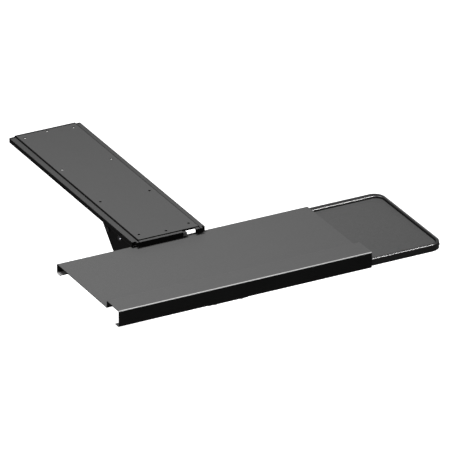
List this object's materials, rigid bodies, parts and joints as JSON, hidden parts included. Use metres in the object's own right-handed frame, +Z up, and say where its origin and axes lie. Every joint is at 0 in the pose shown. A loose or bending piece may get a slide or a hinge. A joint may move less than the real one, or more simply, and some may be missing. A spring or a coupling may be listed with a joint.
{
  "type": "under_desk_articulating_keyboard_tray",
  "caption": "Steel keyboard platform on a swivelling lift arm that slides in a track screwed under a desk, with a mouse tray that draws out to the right",
  "frame": {"origin": "Centre of the track's top face, where it meets the underside of the desk", "axes": "+X to the user's right, +Y towards the back of the desk, +Z up"},
  "size_m": [0.628, 0.701, 0.0827],
  "materials": {
    "powder_coat": "satin charcoal powder coat",
    "tray_plastic": "glossy moulded plastic",
    "knob_plastic": "fine moulded grain",
    "black_nylon": "plain",
    "pale_nylon": "plain",
    "black_rubber": "matte",
    "zinc_steel": "bright zinc plate",
    "mat_sheet": "fine textured sheet",
    "black_oxide": "oiled black oxide"
  },
  "bodies": {
    "track": {"desk_track": "powder_coat", "front_stop_bumpers": "black_rubber", "rear_stop_bar": "powder_coat", "rear_stop_bumper": "black_rubber"},
    "carriage": {"carriage_plate": "powder_coat", "carriage_glide_shoes": "black_nylon", "swivel_disc": "pale_nylon", "swivel_bolt": "zinc_steel"},
    "bracket": {"swivel_bracket": "powder_coat", "swivel_washer": "zinc_steel", "swivel_nut": "zinc_steel", "lift_shaft": "black_oxide", "lift_shaft_rings": "black_oxide", "lift_friction_washers": "pale_nylon", "link_rear_pin": "black_oxide", "arm_side_pad": "pale_nylon", "arm_side_rivet": "black_oxide"},
    "arm": {"lift_arm": "powder_coat", "lift_clamp_nut": "zinc_steel", "arm_front_shaft": "black_oxide", "arm_front_rings": "black_oxide"},
    "lift_knob": {"lift_clamp_knob": "knob_plastic", "lift_clamp_screw": "zinc_steel", "lift_clamp_washer": "zinc_steel"},
    "link": {"levelling_link": "powder_coat"},
    "head": {"tilt_head": "powder_coat", "link_front_pin": "black_oxide", "arm_front_spacers": "pale_nylon", "tilt_clamp_nut": "zinc_steel"},
    "tilt_knob": {"tilt_clamp_knob": "knob_plastic", "tilt_clamp_screw": "zinc_steel", "tilt_clamp_washer": "zinc_steel"},
    "platform": {"platform_bracket": "powder_coat", "platform_bracket_screws": "zinc_steel", "tilt_shaft": "black_oxide", "tilt_shaft_rings": "black_oxide", "tilt_spacers": "pale_nylon", "keyboard_platform": "powder_coat", "tray_stop_pins": "zinc_steel"},
    "tray": {"mouse_tray": "tray_plastic", "mouse_tray_mat": "mat_sheet", "mouse_tray_glides": "pale_nylon"}
  },
  "joints": [
    {"name": "carriage_slide", "type": "slide", "parent": "track", "child": "carriage", "axis": [0, 1, 0], "range_m": [0, 0.165]},
    {"name": "swivel", "type": "hinge", "parent": "carriage", "child": "bracket", "pos_m": [0, -0.1255, -0.013], "axis": [0, 0, 1], "range_deg": [-90, 90]},
    {"name": "lift", "type": "hinge", "parent": "bracket", "child": "arm", "pos_m": [0, -0.0975, -0.0322], "axis": [1, 0, 0], "range_deg": [0, 40]},
    {"name": "link_turn", "type": "hinge", "parent": "bracket", "child": "link", "pos_m": [0, -0.0913, -0.047], "axis": [1, 0, 0], "range_deg": [0, 40]},
    {"name": "head_level", "type": "hinge", "parent": "arm", "child": "head", "pos_m": [0, -0.214, -0.0426], "axis": [1, 0, 0], "range_deg": [-40, 0]},
    {"name": "tilt", "type": "hinge", "parent": "head", "child": "platform", "pos_m": [0, -0.2395, -0.0466], "axis": [1, 0, 0], "range_deg": [-15, 10]},
    {"name": "mouse_tray_slide", "type": "slide", "parent": "platform", "child": "tray", "axis": [1, 0, 0], "range_m": [-0.138, 0]},
    {"name": "lift_knob_turn", "type": "hinge", "parent": "arm", "child": "lift_knob", "pos_m": [0.05, -0.1342, -0.0452], "axis": [1, 0, 0], "range_deg": [0, 270]},
    {"name": "tilt_knob_turn", "type": "hinge", "parent": "head", "child": "tilt_knob", "pos_m": [-0.05, -0.2335, -0.0657], "axis": [1, 0, 0], "range_deg": [0, 270]}
  ],
  "couplings": [
    {"joint": "link_turn", "follows": "lift", "ratio": 1},
    {"joint": "head_level", "follows": "lift", "ratio": -1}
  ]
}
